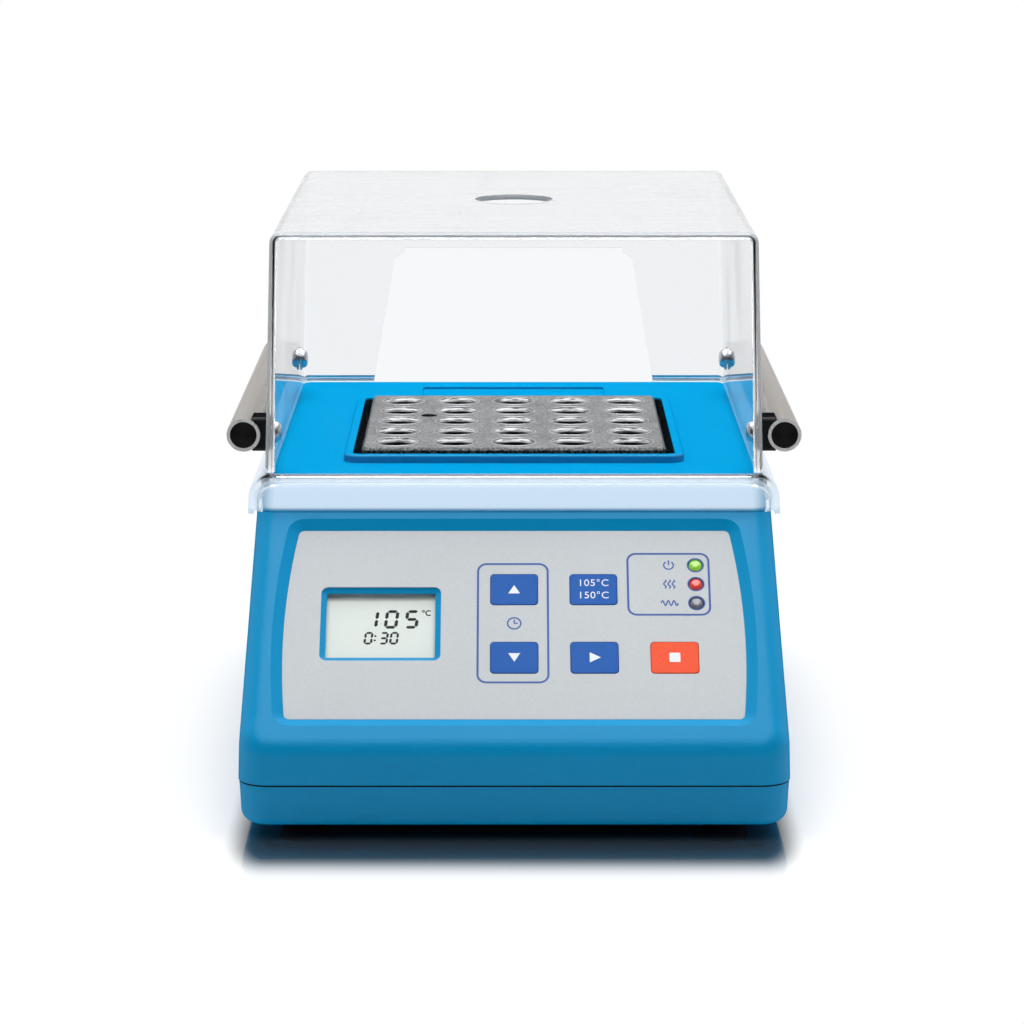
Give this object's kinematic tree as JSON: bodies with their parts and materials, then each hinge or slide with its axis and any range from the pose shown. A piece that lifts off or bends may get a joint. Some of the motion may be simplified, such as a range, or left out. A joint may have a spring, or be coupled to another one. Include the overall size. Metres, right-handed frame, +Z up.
{
  "type": "chemical oxygen demand reactor",
  "caption": "Bench heater for sample vials with a sloped membrane panel, a metal well block in a raised collar and a clear lift-off shield with side handles.",
  "frame": {"origin": "on the bench, under the middle of the case", "axes": "+Z up, +X to the user's right, -Y towards the user: the sloped panel faces -Y"},
  "size_m": [0.2076, 0.3006, 0.1997],
  "materials": {
    "blue_case": "fine satin moulded grain",
    "overlay_grey": "satin printed film",
    "key_blue": "satin",
    "key_orange": "satin",
    "clear_shield": "clear polished plastic",
    "clear_pane": "clear",
    "block_aluminium": "matt machined",
    "black_plastic": "satin",
    "foot_rubber": "matt",
    "stainless": "brushed along its length",
    "plated_steel": "bright plated",
    "mineral_wool": "pressed fibre",
    "heater_foil": "foil film",
    "circuit_board": "solder mask",
    "nylon": "natural",
    "brass": "turned",
    "lamp_green": "tinted lens",
    "lamp_red": "tinted lens",
    "lamp_grey": "unlit lens",
    "display_grey": "reflective display",
    "core_iron": "varnished laminations",
    "relay_plastic": "moulded",
    "sink_aluminium": "black anodised",
    "fuse_glass": "clear"
  },
  "bodies": {
    "base": {"upper_case": "blue_case", "lower_case": "blue_case", "foot_front_left": "foot_rubber", "foot_front_right": "foot_rubber", "foot_rear_left": "foot_rubber", "foot_rear_right": "foot_rubber", "case_screws": "plated_steel", "heating_block": "block_aluminium", "block_liner": "black_plastic", "heater_plate": "heater_foil", "clamp_plate": "plated_steel", "heater_screws": "plated_steel", "insulation": "mineral_wool", "block_can": "plated_steel", "can_standoffs": "brass", "standoff_nuts": "plated_steel", "block_pillars": "plated_steel", "chassis_plate": "plated_steel", "chassis_screws": "plated_steel", "temperature_probe": "stainless", "thermal_cutout": "black_plastic", "overlay": "overlay_grey", "lamp_power": "lamp_green", "lamp_hot": "lamp_red", "lamp_heating": "lamp_grey", "lamp_spacers": "nylon", "display_window": "clear_pane", "display_module": "display_grey", "key_switches": "black_plastic", "control_board": "circuit_board", "board_screws": "plated_steel", "power_board": "circuit_board", "board_spacers": "nylon", "transformer": "core_iron", "relay": "relay_plastic", "heat_sink": "sink_aluminium", "mains_inlet": "black_plastic", "mains_terminals": "brass", "inlet_screws": "plated_steel", "rocker_frame": "black_plastic"},
    "shield": {"clear_shield": "clear_shield", "handle_tube_left": "stainless", "handle_tube_right": "stainless", "bracket_front_left": "black_plastic", "bracket_front_right": "black_plastic", "bracket_rear_left": "black_plastic", "bracket_rear_right": "black_plastic", "handle_plugs": "black_plastic", "handle_washers": "plated_steel", "handle_screws": "plated_steel"},
    "timer_up_key": {"key_timer_up": "key_blue"},
    "timer_down_key": {"key_timer_down": "key_blue"},
    "temperature_key": {"key_temperature": "key_blue"},
    "start_key": {"key_start": "key_blue"},
    "stop_key": {"key_stop": "key_orange"},
    "power_rocker": {"rocker": "black_plastic"},
    "fuse_tray": {"fuse_drawer": "black_plastic", "fuse": "fuse_glass"}
  },
  "joints": [
    {"name": "shield_lift", "type": "slide", "parent": "base", "child": "shield", "axis": [0, 0, 1], "range_m": [0, 0.16]},
    {"name": "timer_up_press", "type": "slide", "parent": "base", "child": "timer_up_key", "axis": [0, 0.6884, -0.7254], "range_m": [0, 0.0004], "stiffness_N_per_m": 1500, "springref_m": -0.0004},
    {"name": "timer_down_press", "type": "slide", "parent": "base", "child": "timer_down_key", "axis": [0, 0.6884, -0.7254], "range_m": [0, 0.0004], "stiffness_N_per_m": 1500, "springref_m": -0.0004},
    {"name": "temperature_press", "type": "slide", "parent": "base", "child": "temperature_key", "axis": [0, 0.6884, -0.7254], "range_m": [0, 0.0004], "stiffness_N_per_m": 1500, "springref_m": -0.0004},
    {"name": "start_press", "type": "slide", "parent": "base", "child": "start_key", "axis": [0, 0.6884, -0.7254], "range_m": [0, 0.0004], "stiffness_N_per_m": 1500, "springref_m": -0.0004},
    {"name": "stop_press", "type": "slide", "parent": "base", "child": "stop_key", "axis": [0, 0.6884, -0.7254], "range_m": [0, 0.0004], "stiffness_N_per_m": 1500, "springref_m": -0.0004},
    {"name": "power_rock", "type": "hinge", "parent": "base", "child": "power_rocker", "pos_m": [0.038, 0.1427, 0.056], "axis": [-1, 0, 0], "range_deg": [0, 24]},
    {"name": "fuse_slide", "type": "slide", "parent": "base", "child": "fuse_tray", "axis": [0, 1, 0], "range_m": [0, 0.012]}
  ]
}
